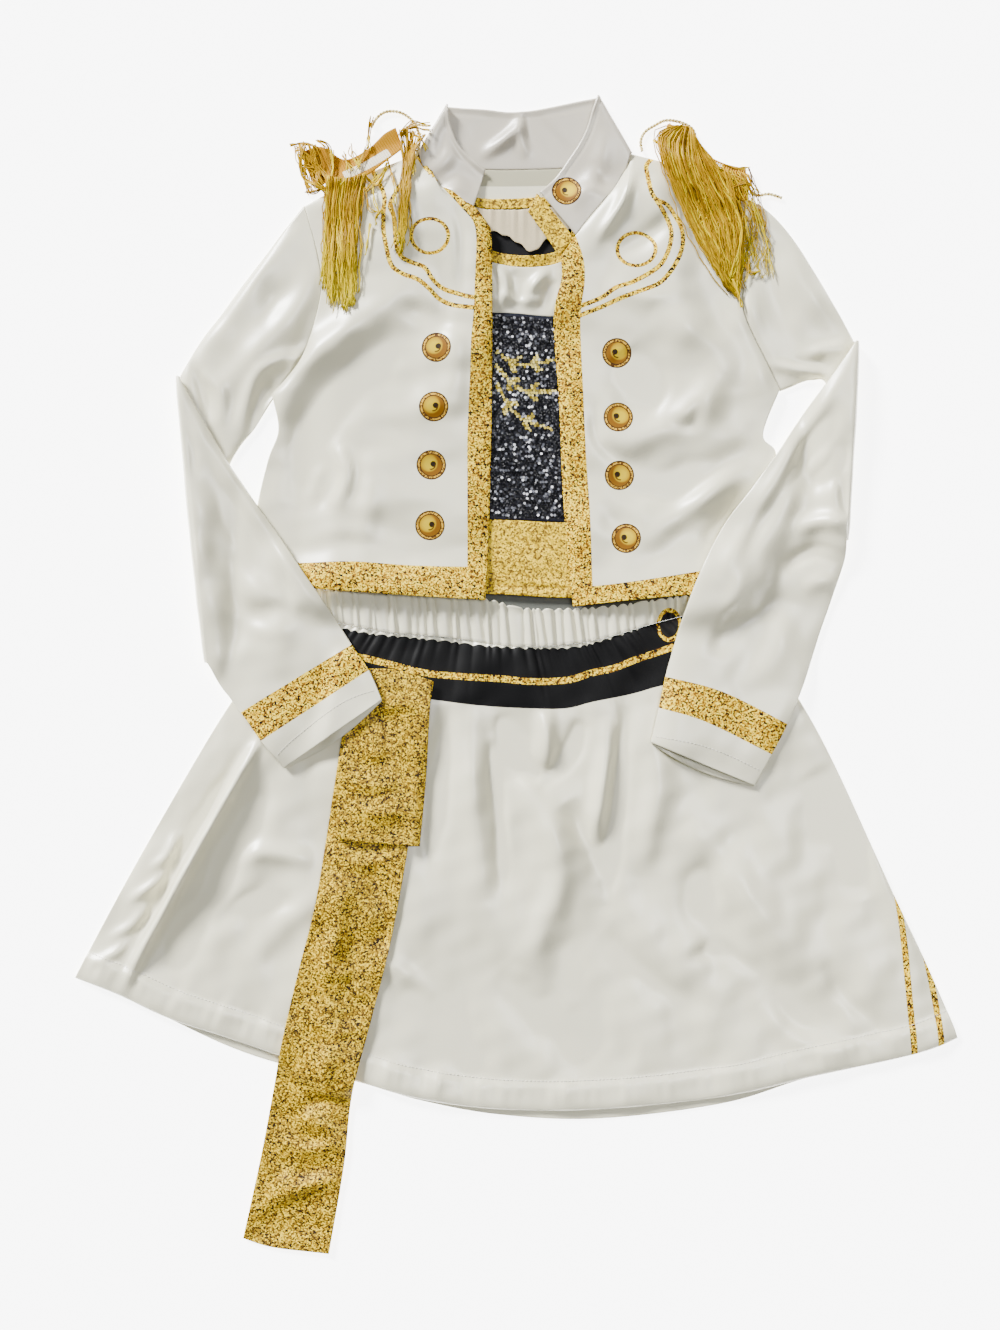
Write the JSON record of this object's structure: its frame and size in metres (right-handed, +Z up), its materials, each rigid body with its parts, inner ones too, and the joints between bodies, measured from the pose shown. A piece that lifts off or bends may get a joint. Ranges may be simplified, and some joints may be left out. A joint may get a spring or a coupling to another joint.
{
  "type": "marching band costume",
  "caption": "Child's white and gold marching band costume laid flat: open jacket with fringed epaulettes, sequin camisole, gathered skirt and glitter sash",
  "frame": {"origin": "the middle of the costume's outline, on the surface that it lies on", "axes": "+Y to the neck, +X to the wearer's left, +Z up out of the costume's front"},
  "size_m": [0.6875, 0.9025, 0.0226],
  "materials": {
    "white_satin_knit": "satin",
    "gold_glitter_cloth": "matte",
    "black_sequin_cloth": "gloss",
    "black_lining": "matte",
    "yellow_fringe": "satin",
    "orange_heading": "matte",
    "gold_cord": "satin"
  },
  "bodies": {
    "root": {"skirt_back_waist": "white_satin_knit", "skirt_back": "white_satin_knit", "skirt_front_waist": "white_satin_knit", "skirt_front": "white_satin_knit", "jacket_back": "white_satin_knit", "jacket_front_right": "white_satin_knit", "jacket_front_left": "white_satin_knit", "jacket_collar": "white_satin_knit", "jacket_collar_band": "gold_glitter_cloth", "sleeve_right": "white_satin_knit", "sleeve_left": "white_satin_knit", "camisole_back": "black_lining", "camisole_back_binding": "gold_glitter_cloth", "camisole_back_facing": "white_satin_knit", "camisole_front": "white_satin_knit", "camisole_front_binding": "gold_glitter_cloth", "camisole_sequin_panel": "black_sequin_cloth", "camisole_hem_band": "gold_glitter_cloth", "sash_long_tail": "gold_glitter_cloth", "sash_short_tail": "gold_glitter_cloth", "epaulette_right_board": "orange_heading", "epaulette_left_board": "orange_heading", "epaulette_right_fringe": "yellow_fringe", "epaulette_right_neck_fringe": "yellow_fringe", "epaulette_right_end_fringe": "yellow_fringe", "epaulette_left_fringe": "yellow_fringe", "epaulette_left_end_fringe": "yellow_fringe", "epaulette_right_cord": "gold_cord", "epaulette_left_cord": "gold_cord", "epaulette_left_cord_end": "gold_cord"}
  },
  "joints": []
}
